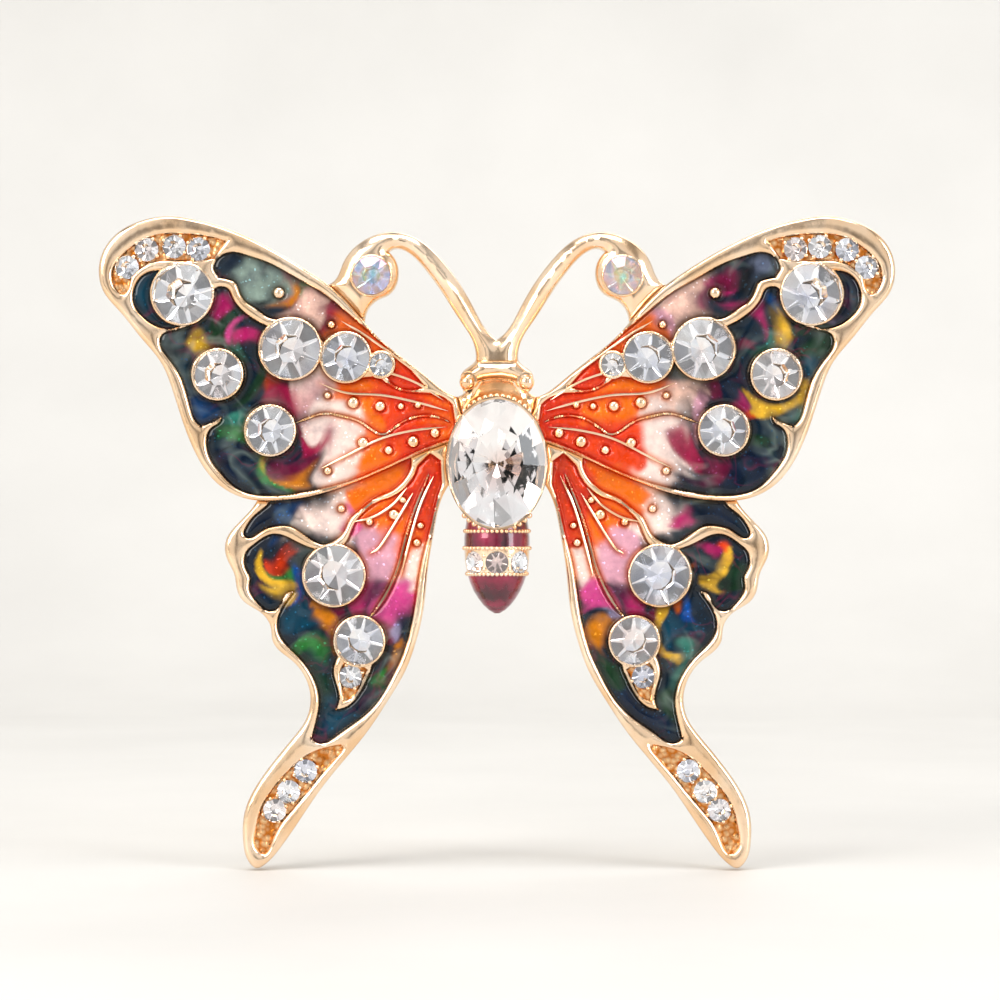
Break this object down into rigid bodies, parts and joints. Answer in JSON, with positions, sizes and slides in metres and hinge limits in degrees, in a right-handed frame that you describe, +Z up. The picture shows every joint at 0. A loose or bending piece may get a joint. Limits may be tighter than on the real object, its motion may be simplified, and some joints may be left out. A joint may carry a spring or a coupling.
{
  "type": "brooch",
  "caption": "Butterfly brooch: gold-plated castings filled with coloured enamel and set with round and oval crystals, with a hinged pin and turning safety catch on the back.",
  "frame": {"origin": "middle of the free pin stem, on its axis", "axes": "+X to the viewer's right seen from the front, along the pin stem towards its point; +Y backwards, towards the garment; +Z up, towards the head"},
  "size_m": [0.0654, 0.0127, 0.0536],
  "materials": {
    "gold": "polished gold plate over a zinc casting",
    "finding_gold": "polished gold plate",
    "wing_enamel": "poured glossy epoxy enamel in several colours, mostly dark navy and teal with orange roots",
    "abdomen_enamel": "glossy translucent plum enamel",
    "crystal": "clear cut glass with a foil back",
    "iris_crystal": "cut glass with an iridescent coat",
    "pin_steel": "polished plated spring steel"
  },
  "bodies": {
    "root": {"head_collar": "gold", "thorax_cup": "gold", "abdomen_shell": "gold", "forewing_frame_left": "gold", "hindwing_frame_left": "gold", "antenna_left": "gold", "forewing_frame_right": "gold", "hindwing_frame_right": "gold", "antenna_right": "gold", "forewing_enamel_left": "wing_enamel", "hindwing_enamel_left": "wing_enamel", "forewing_enamel_right": "wing_enamel", "hindwing_enamel_right": "wing_enamel", "abdomen_enamel": "abdomen_enamel", "centre_crystal": "crystal", "abdomen_crystals": "crystal", "forewing_tip_crystal_left": "crystal", "forewing_outer_crystal_left": "crystal", "forewing_inner_crystal_left": "crystal", "forewing_root_crystal_left": "crystal", "forewing_lower_crystal_left": "crystal", "forewing_small_crystal_left": "crystal", "forewing_tip_crystal_right": "crystal", "forewing_outer_crystal_right": "crystal", "forewing_inner_crystal_right": "crystal", "forewing_root_crystal_right": "crystal", "forewing_lower_crystal_right": "crystal", "forewing_small_crystal_right": "crystal", "forewing_pave_crystals_left": "crystal", "forewing_pave_crystals_right": "crystal", "hindwing_upper_crystal_left": "crystal", "hindwing_middle_crystal_left": "crystal", "hindwing_drop_crystal_left": "crystal", "hindwing_upper_crystal_right": "crystal", "hindwing_middle_crystal_right": "crystal", "hindwing_drop_crystal_right": "crystal", "hindwing_tail_crystals_left": "crystal", "hindwing_tail_crystals_right": "crystal", "antenna_iris_crystal_left": "iris_crystal", "antenna_iris_crystal_right": "iris_crystal", "hinge_bracket": "finding_gold", "hinge_rivet": "finding_gold", "catch_hook": "finding_gold"},
    "pin": {"pin_stem": "pin_steel"},
    "lock": {"catch_lock": "finding_gold"}
  },
  "joints": [
    {"name": "pin_swing", "type": "hinge", "parent": "root", "child": "pin", "pos_m": [-0.0155, 0, 0], "axis": [0, 0, 1], "range_deg": [0, 70]},
    {"name": "lock_turn", "type": "hinge", "parent": "root", "child": "lock", "pos_m": [0.0139, 0, 0], "axis": [1, 0, 0], "range_deg": [0, 100]}
  ]
}
